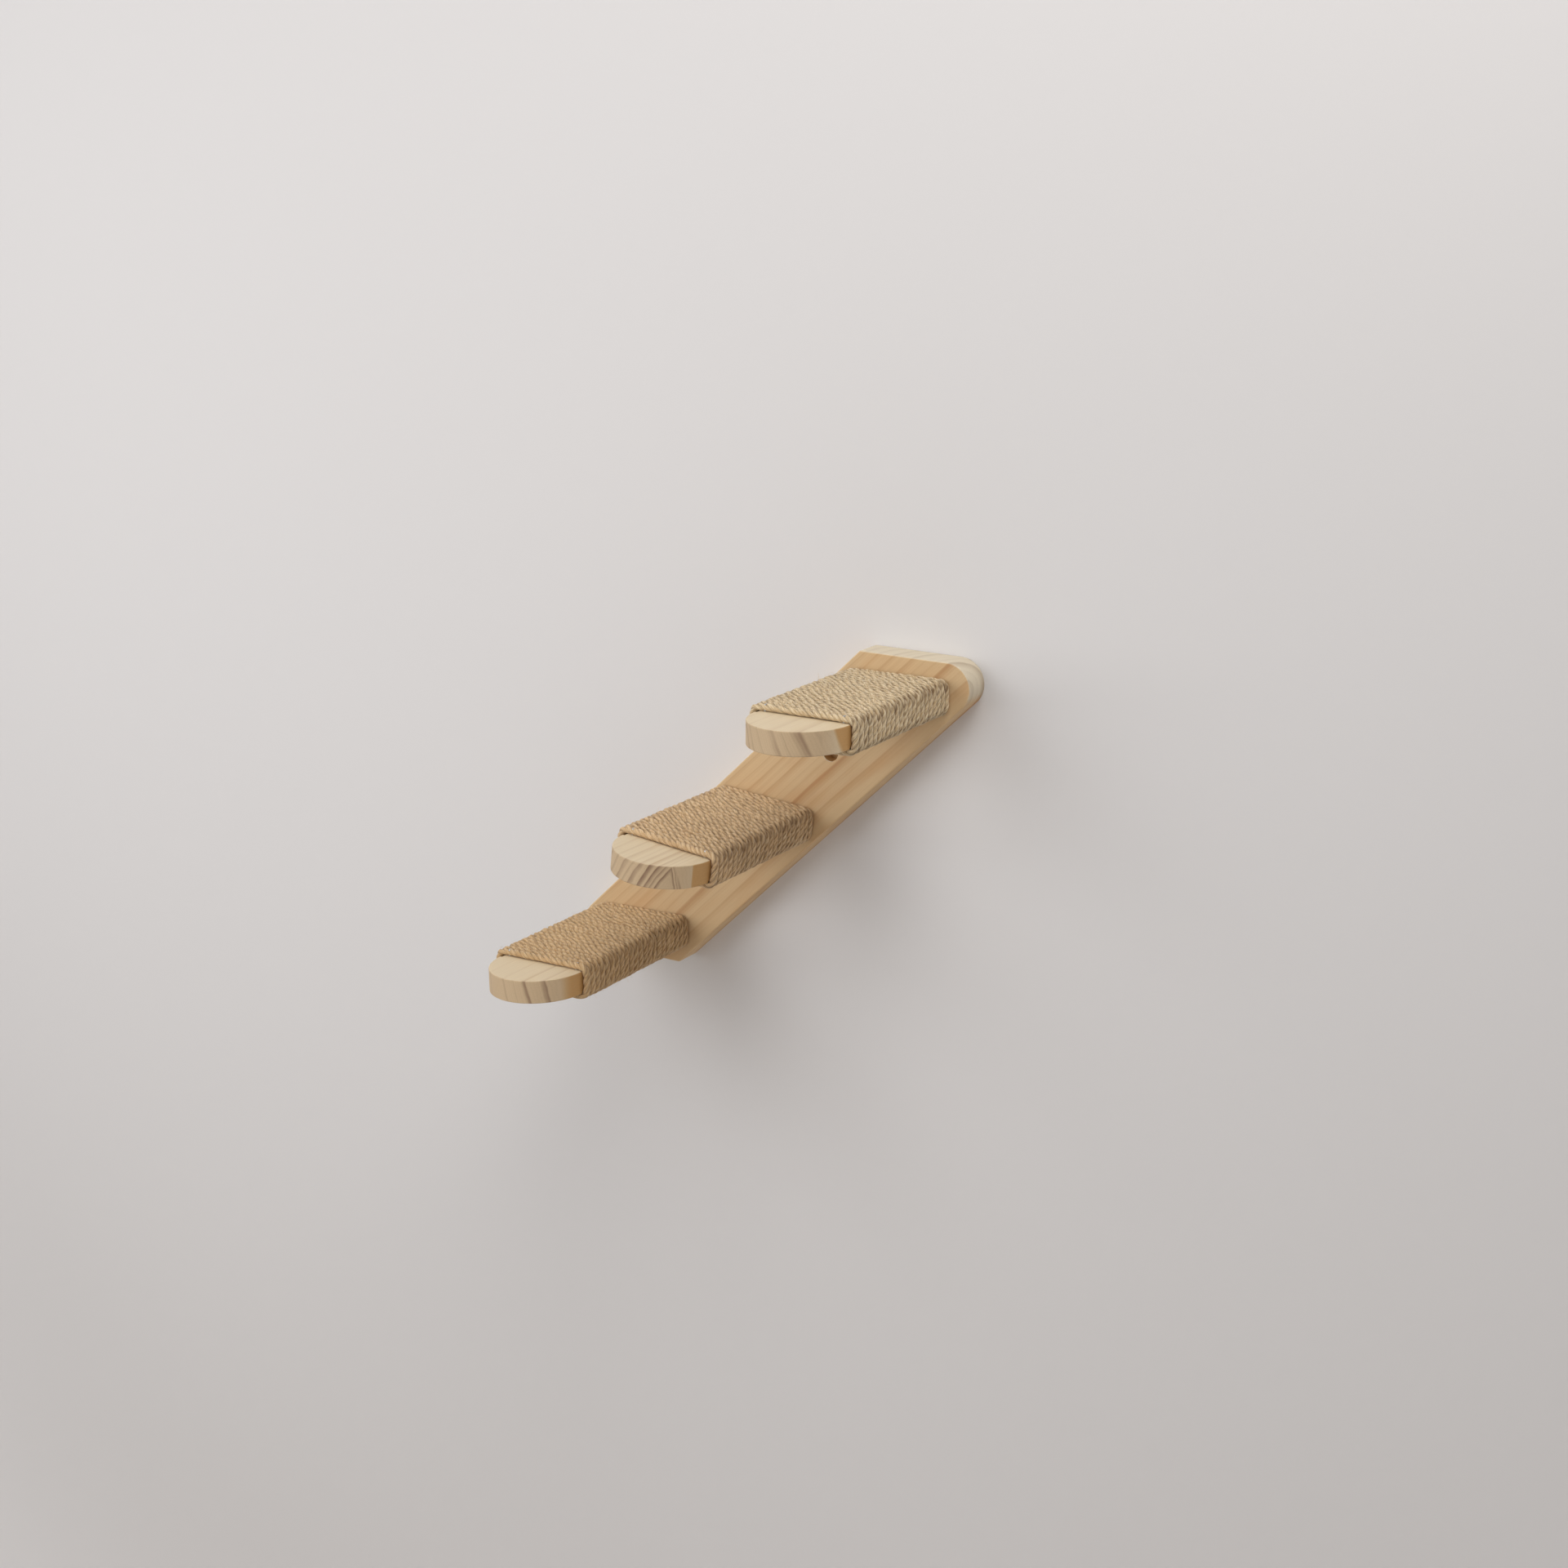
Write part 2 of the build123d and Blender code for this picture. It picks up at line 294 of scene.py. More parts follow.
for level, name in STEP_LEVELS.items():
    turn = (math.radians(90), math.radians(STEP_LEANS[level]), 0)
    step_pine = pine("pine_step_" + name, step_frame(level).translation, turn, STEP_TONES, STEP_END_TONES,
                     long_strength=0.55, streak_reach=0.05, **STEP_GRAIN[level])
    dress("step_" + name, step_pine)


# Step screws
# Two countersunk wood screws hold each step from behind. They are steel, cold headed and zinc plated,
# which leaves them pale grey and half shiny, with a faint bluish cast.

SCREW_ZINC = "#B9BCC0"
PLATING_RELIEF = 0.05


def plated_steel(name, colour, grit, roughness):
    """Plated steel: a metal, dulled unevenly at the size of the grit in mm."""
    material, tree = new_material(name)
    here = add_node(tree, "TexCoord", output="Object")
    spots = add_node(tree, "TexNoise", {"Vector": here, "Scale": 1 / (grit * MM), "Detail": 2},
                     output="Fac")
    shine = add_node(tree, "MapRange", {"Value": spots, "To Min": roughness - 0.1,
                                        "To Max": roughness + 0.15})
    tone = add_node(tree, "MapRange", {"Value": spots, "To Min": 0.85, "To Max": 1.05})
    tinted = add_node(tree, "VectorMath", {0: linear(colour)[:3], "Scale": tone}, operation="SCALE")
    bump = add_node(tree, "Bump", {"Height": spots, "Strength": 0.1, "Distance": PLATING_RELIEF * MM})
    surface = add_node(tree, "BsdfPrincipled", {"Base Color": tinted, "Metallic": 1.0, "Roughness": shine,
                                                "Normal": bump})
    add_node(tree, "OutputMaterial", {"Surface": surface})
    return material


zinc = plated_steel("steel_zinc_plated", SCREW_ZINC, 0.8, 0.35)
for name in STEP_LEVELS.values():
    dress("step_screws_" + name, zinc)


# Rope
# One length of jute on each step: three strands of spun yarn laid up right-handed, wound by hand in a
# single layer with the turns pressed together. It is dull and hairy, and its tan varies by the yarn.

STEP_WIDTH = 95
STEP_THICKNESS = 22
# The rope's middle line is this far off the step, and its strands fill an oval of this half size
ROPE_OFFSET = 3.4
ROPE_HALF_HEIGHT = 3.25
ROPE_HALF_WIDTH = 4.2
# How far the first and last turns are from the board on the right, and how much nearer to it the
# first one is on the left
ROPE_FIRST = 175
ROPE_FIRST_DRIFT = 4
ROPE_LAST = 4.8
ROPE_LOOPS = 22
# It starts underneath, right of the middle, and ends below the top of the left side, where it is a
# little slack. Its route has a point before each corner, this far in.
ROPE_START = 20
ROPE_END_DROP = 20
ROPE_LEFT_SLACK = 2.5
ROPE_SHOULDER = 14.4
ROPE_LAY = 22.8
STRAND_COUNT = 3
STRAND_RADIUS = 1.95
STRAND_STEP = 1.2
# How far the turns stray along the step, the twist from even, as a share of a whole one, and the
# strands in thickness, and over what lengths
TURN_STRAY, TURN_STRAY_RUN = 0.3, 45
TWIST_STRAY, TWIST_STRAY_RUN = 0.26, 52
STRAND_SWELL, STRAND_SWELL_RUN = 0.07, 14

# The loose fibres: how many along the rope and at each end, the points and radius of each, the least
# and most length in mm, the least and most lift and the curl as shares of that, and how far they
# stray round the rope and slant, in radians
FIBRE_COUNT = 420
FRAY_COUNT = 24
FIBRE_POINTS = 5
FIBRE_RADIUS = 0.06
FIBRE_LENGTHS = (3, 9)
FIBRE_LIFTS = (0.05, 0.28)
FIBRE_CURL = 0.35
FIBRE_SPREAD = 1.7
FIBRE_SLANT = 0.5

# Painted shade: each rope is painted darker and browner the lower its step hangs, for the dimmer light
# there. These are how much of red, green and blue light its jute gives back, as shares, and how far
# its painted groove shade goes from its own tone to the grooves' brown
JUTE_LEVEL_SHADE_SHARES = {1: (0.93, 0.96, 0.94), 0: (0.93, 0.86, 0.76), -1: (0.85, 0.76, 0.62)}
JUTE_GROOVE_SHADE_SHARES = {1: 0.86, 0: 0.73, -1: 0.5}
JUTE_PALE = "#ECDBBF"
JUTE_TAN = "#D6BB96"
JUTE_BROWN = "#AC8C62"
# The brown of the painted shade between the strands and between the turns
JUTE_GROOVE_SHADE = "#6A4A26"
# Sizes in mm: the hairs and yarns along and across a strand, the patches of tone, the specks of the
# painted groove shade, and the relief. The hairs and yarns run round the strand at a slant, in degrees.
HAIR_RUN, HAIR_WIDTH = 6, 0.35
YARN_RUN, YARN_WIDTH = 9, 0.9
YARN_SLANT = -24
JUTE_PATCH = 16
JUTE_SPECK = 5
JUTE_RELIEF = 0.35

rope_half_width = STEP_WIDTH / 2 + ROPE_OFFSET
rope_half_height = STEP_THICKNESS / 2 + ROPE_OFFSET
right_pitch = (ROPE_FIRST - ROPE_LAST) / (ROPE_LOOPS - 1)
left_pitch = (ROPE_FIRST - ROPE_FIRST_DRIFT - ROPE_LAST) / (ROPE_LOOPS - 1)


def rope_point(loop, across, height, over):
    """A point of the route in a step's frame. A loop comes in underneath from the left."""
    right = ROPE_FIRST - loop * right_pitch
    left = ROPE_FIRST - ROPE_FIRST_DRIFT - (loop if over else loop - 1) * left_pitch
    return (across, -right - (left - right) * (rope_half_width - across) / (2 * rope_half_width), height)


def rope_route():
    """The control points of one rope, in a step's frame: ten to a turn, up the right side first."""
    wide, high = rope_half_width, rope_half_height
    shoulder = wide - ROPE_SHOULDER
    points = []
    for loop in range(ROPE_LOOPS):
        inward = ROPE_START if loop == 0 else -shoulder
        points += [rope_point(loop, across, -high, False) for across in (inward, shoulder)]
        points += [rope_point(loop, wide, height, True) for height in (-high, 0, high)]
        points += [rope_point(loop, across, high, True) for across in (shoulder, -shoulder)]
        points += [rope_point(loop, -wide - ROPE_LEFT_SLACK, height, True) for height in (high, 0, -high)]
    end = rope_point(ROPE_LOOPS - 1, -wide - ROPE_LEFT_SLACK, high - ROPE_END_DROP, True)
    return points[:-2] + [end]


def add_object(name, data):
    """A new object in the scene."""
    thing = bpy.data.objects.new(name, data)
    bpy.context.scene.collection.objects.link(thing)
    return thing


def new_curve(name, kind, lines, smooth=1):
    """A curve object with one spline for each line of points in mm."""
    curve = bpy.data.curves.new(name, "CURVE")
    curve.dimensions = "3D"
    for line in lines:
        spline = curve.splines.new(kind)
        spline.points.add(len(line) - 1)
        spline.points.foreach_set("co", np.column_stack([line * MM, np.ones(len(line))]).ravel())
        if kind == "NURBS":
            spline.order_u = 3
            spline.use_endpoint_u = True
            spline.resolution_u = smooth
    piece = add_object(name, curve)
    bpy.context.view_layer.update()
    return piece


def line_of(curve_piece):
    """The points in mm along a curve's own line. The curve is then removed."""
    mesh = bpy.data.meshes.new_from_object(curve_piece)
    points = np.array([v.co for v in mesh.vertices], float) / MM
    bpy.data.objects.remove(curve_piece)
    return points


def even_points(points, step):
    """Points at even steps along a line, and how far along it each one is."""
    far = np.concatenate([[0], np.cumsum(np.linalg.norm(np.diff(points, axis=0), axis=1))])
    places = np.linspace(0, far[-1], int(far[-1] / step) + 1)
    return np.column_stack([np.interp(places, far, points[:, axis]) for axis in range(3)]), places


def rope_axes(points, nose):
    """At each point of the line: the way ahead, the way along the step, and the way off its surface."""
    ahead = np.gradient(points, axis=0)
    ahead /= np.linalg.norm(ahead, axis=1)[:, None]
    along = nose - (ahead @ nose)[:, None] * ahead
    along /= np.linalg.norm(along, axis=1)[:, None]
    return ahead, along, np.cross(ahead, along)


def slow_wave(places, run, source):
    """A smooth random wave along a line, about 1 high, that turns about once in each run."""
    knots = source.normal(size=int(places[-1] / run) + 2)
    number = (places / run).astype(int)
    share = places / run - number
    share = share * share * (3 - 2 * share)
    return knots[number] * (1 - share) + knots[number + 1] * share


def mesh_piece(curve_piece, name, material):
    """The curve with its thickness as a mesh piece at the origin, riding on the object."""
    mesh = bpy.data.meshes.new_from_object(curve_piece)
    bpy.data.objects.remove(curve_piece)
    mesh.name = name
    piece = add_object(name, mesh)
    mesh.materials.append(material)
    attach(piece, "root")
    return piece


def jute(name, level_shade_shares, groove_shade_share):
    """Jute strand: fibres run at a slant round it, from pale straw to brown. Its coordinates are in mm."""
    material, tree = new_material(name)
    around = add_node(tree, "UVMap", uv_map="UVMap")
    here = add_node(tree, "TexCoord", output="Object")
    slanted = add_node(tree, "Mapping", {"Vector": around, "Rotation": (0, 0, math.radians(YARN_SLANT))})
    hair = add_node(tree, "VectorMath", [slanted, (1 / HAIR_RUN, 1 / HAIR_WIDTH, 1)], operation="MULTIPLY")
    hairs = add_node(tree, "TexNoise", {"Vector": hair, "Scale": 1, "Detail": 3, "Roughness": 0.65},
                     output="Fac")
    yarn = add_node(tree, "VectorMath", [slanted, (1 / YARN_RUN, 1 / YARN_WIDTH, 1)], operation="MULTIPLY")
    yarns = add_node(tree, "TexNoise", {"Vector": yarn, "Scale": 1, "Detail": 1}, output="Fac")
    patch = add_node(tree, "TexNoise", {"Vector": here, "Scale": 1 / (JUTE_PATCH * MM), "Detail": 2},
                     output="Fac")
    both = add_node(tree, "Math", [hairs, 0.55], operation="MULTIPLY")
    both = add_node(tree, "Math", [yarns, 0.45, both], operation="MULTIPLY_ADD")
    tone = add_node(tree, "ValToRGB", [both], output="Color",
                    stops=[(0.34, linear(JUTE_BROWN)), (0.48, linear(JUTE_TAN)), (0.62, linear(JUTE_PALE))])
    # Painted shade: deep between the strands and where the turns press together, in specks of the grooves'
    # brown
    groove_shade = add_node(tree, "Attribute", output="Fac", attribute_name="groove_shade")
    speck = add_node(tree, "TexNoise", {"Vector": here, "Scale": 1 / (JUTE_SPECK * MM), "Detail": 1},
                     output="Fac")
    speck = add_node(tree, "MapRange", {"Value": speck, "From Min": 0.35, "From Max": 0.65,
                                        "To Min": groove_shade_share / 2, "To Max": groove_shade_share})
    groove_shade = add_node(tree, "Math", [groove_shade, speck], operation="MULTIPLY")
    tone = add_node(tree, "Mix", {"Factor": groove_shade, "A": tone, "B": linear(JUTE_GROOVE_SHADE)}, data_type="RGBA")
    shade = add_node(tree, "MapRange", {"Value": patch, "From Min": 0.3, "From Max": 0.7, "To Min": 0.92,
                                        "To Max": 1.06})
    colour = add_node(tree, "VectorMath", {0: tone, "Scale": shade}, operation="SCALE")
    # Painted shade: the rope's tone is darkened by its step's shares
    colour = add_node(tree, "VectorMath", [colour, level_shade_shares], operation="MULTIPLY")
    bump = add_node(tree, "Bump", {"Height": both, "Strength": 0.7, "Distance": JUTE_RELIEF * MM})
    surface = add_node(tree, "BsdfPrincipled", {"Base Color": colour, "Roughness": 0.9, "Normal": bump,
                                                "IOR": 1.5, "Sheen Weight": 0.25, "Sheen Roughness": 0.5})
    add_node(tree, "OutputMaterial", {"Surface": surface})
    return material


def wind_strands(name, points, places, along, outward, source, material):
    """The three strands of one rope, laid round its line."""
    twist = places / ROPE_LAY + TWIST_STRAY * slow_wave(places, TWIST_STRAY_RUN, source)
    for strand in range(STRAND_COUNT):
        angle = 2 * math.pi * (twist + strand / STRAND_COUNT)[:, None]
        line = points + ((ROPE_HALF_WIDTH - STRAND_RADIUS) * np.cos(angle) * along
                         + (ROPE_HALF_HEIGHT - STRAND_RADIUS) * np.sin(angle) * outward)
        curve_piece = new_curve("strand", "POLY", [line])
        swell = 1 + STRAND_SWELL * slow_wave(places, STRAND_SWELL_RUN, source)
        curve_piece.data.splines[0].points.foreach_set("radius", swell)
        curve_piece.data.bevel_depth = STRAND_RADIUS * MM
        curve_piece.data.bevel_resolution = 3
        curve_piece.data.use_fill_caps = True
        piece = mesh_piece(curve_piece, f"rope_{name}_strand_{strand + 1}", material)
        length = float(np.linalg.norm(np.diff(line, axis=0), axis=1).sum())
        marks = read_marks(piece) * (length, 2 * math.pi * STRAND_RADIUS)
        piece.data.uv_layers["UVMap"].data.foreach_set("uv", marks.astype(np.float32).ravel())
        paint_groove_shade(piece.data, points, places, along, outward)
        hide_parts("rope_wrap_" + name)


def paint_groove_shade(mesh, points, places, along, outward):
    """Give each point of a strand its painted shade, more where it lies deep between the strands and
    between the turns of the rope.

    The strand's rings of points come first in its mesh, and its two caps last. The first turn has no
    turn in front of it.
    """
    spots = np.empty(3 * len(mesh.vertices), np.float32)
    mesh.vertices.foreach_get("co", spots)
    count = len(mesh.vertices) // len(points)
    rings = spots[:3 * count * len(points)].reshape(len(points), count, 3) / MM - points[:, None]
    high = (rings * outward[:, None]).sum(axis=2) / ROPE_HALF_HEIGHT
    wide = (rings * along[:, None]).sum(axis=2) / ROPE_HALF_WIDTH
    # Painted shade: darker between the strands, and low on the sides where the next turn presses; the first
    # turn's front is bare
    buried = np.clip((high - 0.2) / 0.6, 0, 1)
    bare = (wide > 0) & (places < places[-1] / ROPE_LOOPS)[:, None]
    crest = np.clip((np.hypot(high, wide) - 0.58) / 0.26, 0, 1) * np.where(bare, 1, buried)
    depth = np.zeros(len(mesh.vertices), np.float32)
    depth[:crest.size] = (1 - crest).ravel()
    mesh.attributes.new("groove_shade", "FLOAT", "POINT").data.foreach_set("value", depth)


def read_marks(piece):
    """A piece's texture marks as rows of two shares."""
    marks = piece.data.uv_layers["UVMap"].data
    values = np.empty(2 * len(marks), np.float32)
    marks.foreach_get("uv", values)
    return values.reshape(-1, 2)


def loose_fibres(name, points, ahead, along, outward, source, material):
    """Fibres that have come loose: they leave the surface at a slant, curl, and fray at the two ends."""
    lines = []
    rise = np.linspace(0, 1, FIBRE_POINTS)[:, None]
    for number in range(FIBRE_COUNT + 2 * FRAY_COUNT):
        length, lift = source.uniform(*FIBRE_LENGTHS), source.uniform(*FIBRE_LIFTS)
        curl = source.normal(0, FIBRE_CURL)
        angle, slant = source.uniform(-FIBRE_SPREAD, FIBRE_SPREAD), source.normal(0, FIBRE_SLANT)
        place = int(source.integers(2, len(points) - 2))
        if number >= FIBRE_COUNT:
            place = 0 if number % 2 else len(points) - 1
            length, angle, lift = length / 2, angle * 2, lift * 2
        off = math.cos(angle) * outward[place] + math.sin(angle) * along[place]
        reach = (ROPE_HALF_HEIGHT * math.cos(angle) * outward[place]
                 + ROPE_HALF_WIDTH * math.sin(angle) * along[place])
        way = math.cos(slant) * ahead[place] + math.sin(slant) * np.cross(ahead[place], off)
        way *= -1 if place == 0 or source.random() < 0.5 and place < len(points) - 1 else 1
        lines.append(points[place] + 0.85 * reach + length * (
            rise * way + lift * (1.5 * rise - rise ** 2) * off + curl * rise ** 2 * np.cross(way, off)))
    curve_piece = new_curve("fibres", "POLY", lines)
    curve_piece.data.bevel_depth = FIBRE_RADIUS * MM
    curve_piece.data.bevel_resolution = 0
    piece = mesh_piece(curve_piece, f"rope_{name}_loose_fibres", material)
    marks = read_marks(piece).reshape(len(lines), -1, 2) * (8, 0.5)
    marks += source.uniform(0, 1000, (len(lines), 1, 2))
    piece.data.uv_layers["UVMap"].data.foreach_set("uv", marks.astype(np.float32).ravel())
    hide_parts("rope_wrap_" + name)


for level, name in STEP_LEVELS.items():
    material = jute("jute_three_strand_" + name, JUTE_LEVEL_SHADE_SHARES[level], JUTE_GROOVE_SHADE_SHARES[level])
    source = np.random.default_rng(31 + level)
    place = step_frame(level)
    placed = np.array([place @ (Vector(point) * MM) for point in rope_route()]) / MM
    line = line_of(new_curve("rope_route_" + name, "NURBS", [placed], 10))
    points, places = even_points(line, STRAND_STEP)
    ahead, along, outward = rope_axes(points, np.array((0.0, -1.0, 0.0)))
    points += TURN_STRAY * slow_wave(places, TURN_STRAY_RUN, source)[:, None] * along
    wind_strands(name, points, places, along, outward, source, material)
    loose_fibres(name, points, ahead, along, outward, source, material)


# Staples
# Galvanised steel wire, cut, bent and driven over one turn of the rope, so that the crown bites into
# it: two on top near the nose, and one underneath near each end. The zinc has dulled to a soft grey.

STAPLE_ZINC = "#C6C8CA"
# The wire's width and thickness, half the crown, the legs, the bend between them, the wire's eased
# edges, and how far the crown bites
STAPLE_WIDTH = 1.3
STAPLE_WIRE = 0.5
STAPLE_HALF_CROWN = 2.2
STAPLE_LEG = 12
STAPLE_BEND = 0.8
STAPLE_EASE = 0.1
STAPLE_BITE = 0.2
# How far from the middle of the step a staple is, and the one at the rope's start
STAPLE_SIDE = 40
STAPLE_TAIL = 26


def add_staple(shape, place):
    """Add one staple to the shape: a strip bent over the rope and given its thickness.

    Its crown is at the origin of the place, and its legs point down.
    """
    half, leg = STAPLE_HALF_CROWN, STAPLE_LEG
    strip = bmesh.new()
    corners = [strip.verts.new((-STAPLE_WIDTH / 2, along, up)) for along, up in
               ((-half, -leg), (-half, 0), (half, 0), (half, -leg))]
    for first, second in zip(corners, corners[1:]):
        strip.edges.new((first, second))
    bmesh.ops.bevel(strip, geom=corners[1:3], offset=STAPLE_BEND, affect="VERTICES", segments=4,
                    profile=0.5, material=-1)
    pulled = bmesh.ops.extrude_edge_only(strip, edges=strip.edges[:])["geom"]
    bmesh.ops.translate(strip, verts=[v for v in pulled if isinstance(v, bmesh.types.BMVert)],
                        vec=(STAPLE_WIDTH, 0, 0))
    bmesh.ops.recalc_face_normals(strip, faces=strip.faces[:])
    bmesh.ops.solidify(strip, geom=strip.faces[:] + strip.edges[:] + strip.verts[:], thickness=STAPLE_WIRE)
    sharp = [edge for edge in strip.edges if edge.calc_face_angle(0) > math.radians(60)]
    bmesh.ops.bevel(strip, geom=sharp, offset=STAPLE_EASE, affect="EDGES", segments=1, profile=0.5,
                    material=-1)
    bmesh.ops.recalc_face_normals(strip, faces=strip.faces[:])
    bmesh.ops.transform(strip, matrix=place, verts=strip.verts[:])
    mesh = bpy.data.meshes.new("staple")
    strip.to_mesh(mesh)
    strip.free()
    shape.from_mesh(mesh)
    bpy.data.meshes.remove(mesh)


galvanised = plated_steel("steel_galvanised_wire", STAPLE_ZINC, 0.4, 0.3)
crest = STEP_THICKNESS / 2 + ROPE_OFFSET + ROPE_HALF_HEIGHT - STAPLE_BITE
slant = math.atan2(ROPE_FIRST_DRIFT, 2 * rope_half_width)
for level, name in STEP_LEVELS.items():
    shape = bmesh.new()
    for loop, across, over in ((0, -STAPLE_SIDE, True), (0, STAPLE_SIDE, True), (0, STAPLE_TAIL, False),
                               (ROPE_LOOPS - 1, -STAPLE_SIDE, False)):
        spot = Vector(rope_point(loop, across, crest if over else -crest, over))
        turn = Matrix.Rotation(0 if over else math.pi, 4, "X") @ Matrix.Rotation(-slant, 4, "Z")
        add_staple(shape, step_frame(level) @ Matrix.Scale(MM, 4) @ Matrix.Translation(spot) @ turn)
    mesh = bpy.data.meshes.new("staples_" + name)
    shape.to_mesh(mesh)
    shape.free()
    piece = add_object("staples_" + name, mesh)
    mesh.materials.append(galvanised)
    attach(piece, "root")
    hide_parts("rope_staples_" + name)


# Wall and floor
# A plain painted wall behind the board and a plain pale floor well below it. Both are only the stage.
# The wall shows from its front side alone. It lets light through to what touches it, and is open
# behind the board, so that the back of the board and its screws can be seen as well.

WALL_PAINT = "#E4E4E7"
FLOOR_PAINT = "#EAE1D5"
# How much paler the floor and the far wall look than the lamps make them, and where the wall is far
FLOOR_GLOW = 0.42
WALL_GLOW = 0.4
WALL_NEAR, WALL_FAR = 1250, 2900
# The wall is just behind the board, and lets light through to what is as near as the touch
WALL_GAP = 0.4
WALL_TOUCH = 1.2
# Half of the opening: across the board, and straight up
WALL_OPENING = (28, 165)
ROOM_WIDTH = 9000
ROOM_HEIGHT = 4000
FLOOR_LEVEL = -1900
# The size and relief of the roller's stipple
STIPPLE = 3
STIPPLE_RELIEF = 0.4


def sheet(name, corners, material):
    """A flat four-cornered stage piece. Its corners are in mm."""
    mesh = bpy.data.meshes.new(name)
    shape = bmesh.new()
    shape.faces.new([shape.verts.new(Vector(corner) * MM) for corner in corners])
    shape.to_mesh(mesh)
    shape.free()
    mesh.materials.append(material)
    add_object(name, mesh)


def painted(name, colour):
    """Matt emulsion paint with a faint roller texture: the material, its tree and the paint itself."""
    material, tree = new_material(name)
    here = add_node(tree, "TexCoord", output="Object")
    stipple = add_node(tree, "TexNoise", {"Vector": here, "Scale": 1 / (STIPPLE * MM), "Detail": 2},
                       output="Fac")
    bump = add_node(tree, "Bump", {"Height": stipple, "Strength": 0.08, "Distance": STIPPLE_RELIEF * MM})
    paint = add_node(tree, "BsdfPrincipled", {"Base Color": linear(colour), "Roughness": 0.85,
                                              "Normal": bump, "Specular IOR Level": 0.3})
    return material, tree, paint


def seen_share(tree):
    """1 for a ray from the camera or one that a shiny or clear surface sends on, and 0 for any other."""
    share = 0
    for kind in ("Is Camera Ray", "Is Glossy Ray", "Is Transmission Ray"):
        share = add_node(tree, "Math", [add_node(tree, "LightPath", output=kind), share],
                         operation="MAXIMUM")
    return share


wall_paint, tree, paint = painted("wall_emulsion", WALL_PAINT)
behind = add_node(tree, "NewGeometry", output="Backfacing")
near = add_node(tree, "Math", [add_node(tree, "LightPath", output="Ray Length"), WALL_TOUCH * MM],
                operation="LESS_THAN")
here = add_node(tree, "TexCoord", output="Object")
board = add_node(tree, "Mapping", {"Vector": here, "Rotation": (0, math.radians(BOARD_SLOPE), 0)},
                 vector_type="TEXTURE")
opening = 1
for place, axis, reach in zip((board, here), "XZ", WALL_OPENING):
    place = add_node(tree, "VectorMath", [place], operation="ABSOLUTE")
    inside = add_node(tree, "Math", [add_node(tree, "SeparateXYZ", [place], output=axis), reach * MM],
                      operation="LESS_THAN")
    opening = add_node(tree, "Math", [inside, opening], operation="MULTIPLY")
open_share = add_node(tree, "Math", [behind, near], operation="MAXIMUM")
open_share = add_node(tree, "Math", [open_share, opening], operation="MAXIMUM")
far = add_node(tree, "VectorMath", [here], operation="LENGTH", output="Value")
far = add_node(tree, "MapRange", {"Value": far, "From Min": WALL_NEAR * MM, "From Max": WALL_FAR * MM,
                                  "To Max": WALL_GLOW}, interpolation_type="SMOOTHSTEP")
glow = add_node(tree, "Math", [seen_share(tree), far], operation="MULTIPLY")
glow = add_node(tree, "Emission", {"Color": linear(WALL_PAINT), "Strength": glow})
wall = add_node(tree, "AddShader", [paint, glow])
wall = add_node(tree, "MixShader", [open_share, wall, add_node(tree, "BsdfTransparent")])
add_node(tree, "OutputMaterial", {"Surface": wall})

floor_paint, tree, paint = painted("floor_emulsion", FLOOR_PAINT)
glow = add_node(tree, "Math", [seen_share(tree), FLOOR_GLOW], operation="MULTIPLY")
glow = add_node(tree, "Emission", {"Color": linear(FLOOR_PAINT), "Strength": glow})
add_node(tree, "OutputMaterial", {"Surface": add_node(tree, "AddShader", [paint, glow])})

half, back, low, high = ROOM_WIDTH / 2, WALL_GAP, FLOOR_LEVEL, ROOM_HEIGHT
sheet("stage_wall", [(-half, back, low), (half, back, low), (half, back, high), (-half, back, high)],
      wall_paint)
sheet("stage_floor", [(-half, -half, low), (half, -half, low), (half, half, low), (-half, half, low)],
      floor_paint)


# Light
# A large soft window to the left in front, a smaller one high up on the right, and a pale room all
# round. Each lamp's strength is the share of full daylight that it gives a surface turned towards it.

ROOM_PALE = "#DEDAD7"
ROOM_SHARE = 0.51
# Each lamp's direction, distance, size, strength and colour
LAMPS = {
    "window_left": ((-0.56, -0.78, 0.27), 2200, 1700, 0.44, "#FFFDFA"),
    "window_right": ((0.35, -0.36, 0.87), 2300, 1380, 0.42, "#FFFBF5"),
}
LAMP_AIM = Vector((0, -100, 0))

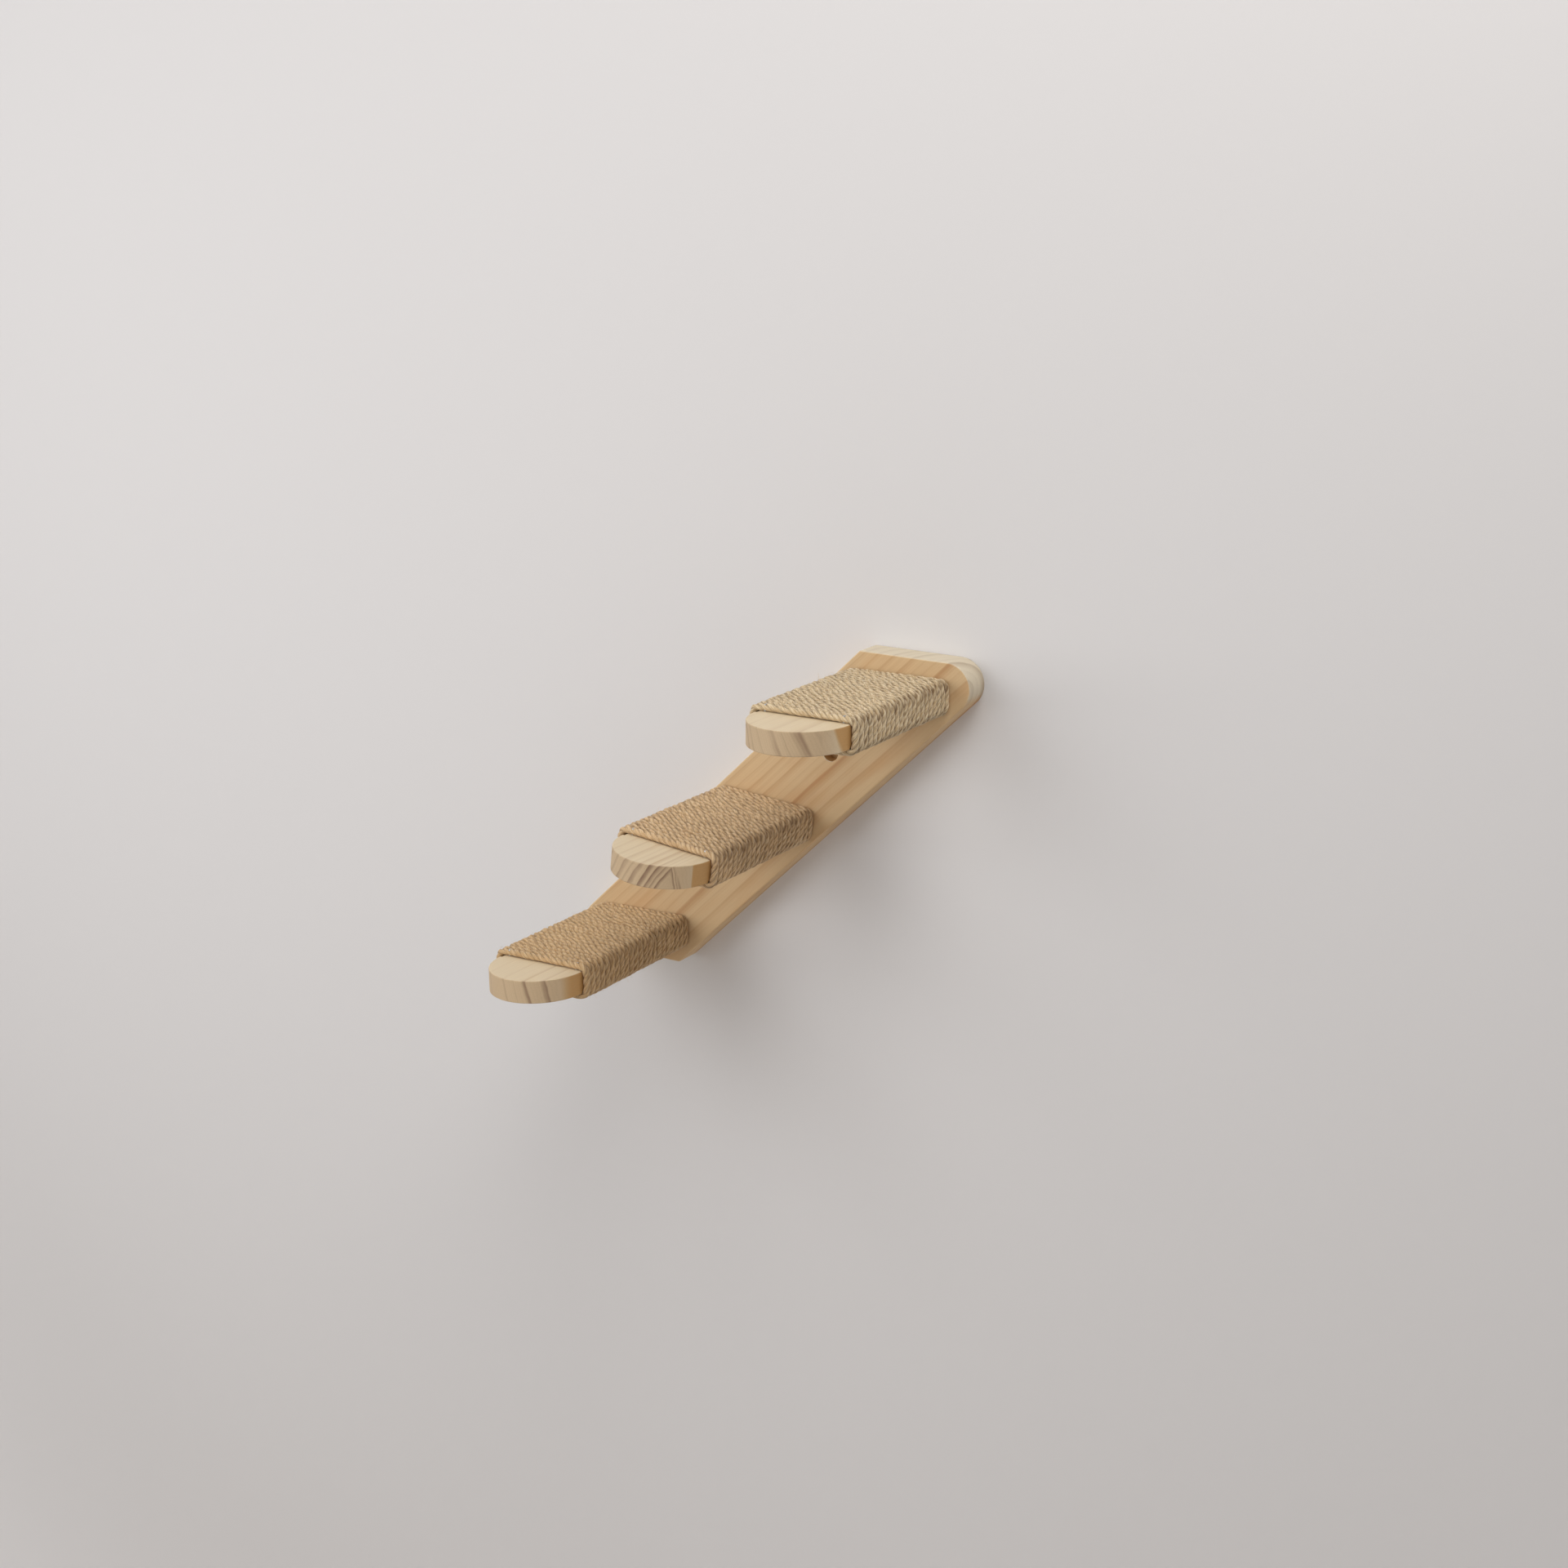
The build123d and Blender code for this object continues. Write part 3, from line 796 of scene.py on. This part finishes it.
for name, (direction, distance, size, share, colour) in LAMPS.items():
    lamp = bpy.data.lights.new(name, "AREA")
    lamp.size = size * MM
    lamp.color = linear(colour)[:3]
    lamp.energy = share * (math.pi * distance * MM) ** 2
    holder = add_object(name, lamp)
    towards = Vector(direction).normalized()
    holder.location = (LAMP_AIM + towards * distance) * MM
    holder.rotation_euler = towards.to_track_quat("Z", "Y").to_euler()
    holder.visible_camera = False

world = bpy.data.worlds.new("room")
world.use_nodes = True
world.node_tree.nodes.clear()
tree = world.node_tree
strength = add_node(tree, "MapRange", {"Value": seen_share(tree), "To Min": ROOM_SHARE, "To Max": 1.0})
room = add_node(tree, "Background", {"Color": linear(ROOM_PALE), "Strength": strength})
add_node(tree, "OutputWorld", {"Surface": room})
bpy.context.scene.world = world


# Camera
# It stands to the right of the ladder and a little above it, as in the photograph. Its angles are in
# degrees, its distance in mm, and the origin's place is in pixels of a frame 1920 pixels wide.

CAMERA_AZIMUTH = 30.061
CAMERA_ELEVATION = 15.615
CAMERA_ROLL = 1.025
CAMERA_DISTANCE = 2348.0
CAMERA_FOCUS_PIXELS = 2937.18
FRAME_PIXELS = 1920
FRAME_CENTRE = (960, 960.5)
ORIGIN_PIXEL = (956.81, 986.66)
SENSOR_WIDTH = 36

azimuth, elevation, roll = (math.radians(a) for a in (CAMERA_AZIMUTH, CAMERA_ELEVATION, CAMERA_ROLL))
back = Vector((math.sin(azimuth) * math.cos(elevation), -math.cos(azimuth) * math.cos(elevation),
               math.sin(elevation)))
level_right = Vector((math.cos(azimuth), math.sin(azimuth), 0))
right = level_right * math.cos(roll) + back.cross(level_right) * math.sin(roll)
up = back.cross(right)
pixel = CAMERA_DISTANCE / CAMERA_FOCUS_PIXELS
spot = (back * CAMERA_DISTANCE - right * (ORIGIN_PIXEL[0] - FRAME_CENTRE[0]) * pixel
        + up * (ORIGIN_PIXEL[1] - FRAME_CENTRE[1]) * pixel)

view = bpy.data.cameras.new("camera")
view.sensor_width = SENSOR_WIDTH
view.lens = SENSOR_WIDTH * CAMERA_FOCUS_PIXELS / FRAME_PIXELS
camera = add_object("camera", view)
camera.matrix_world = Matrix.Translation(spot * MM) @ Matrix((right, up, back)).transposed().to_4x4()
bpy.context.scene.camera = camera
bpy.context.scene.view_settings.view_transform = "Standard"
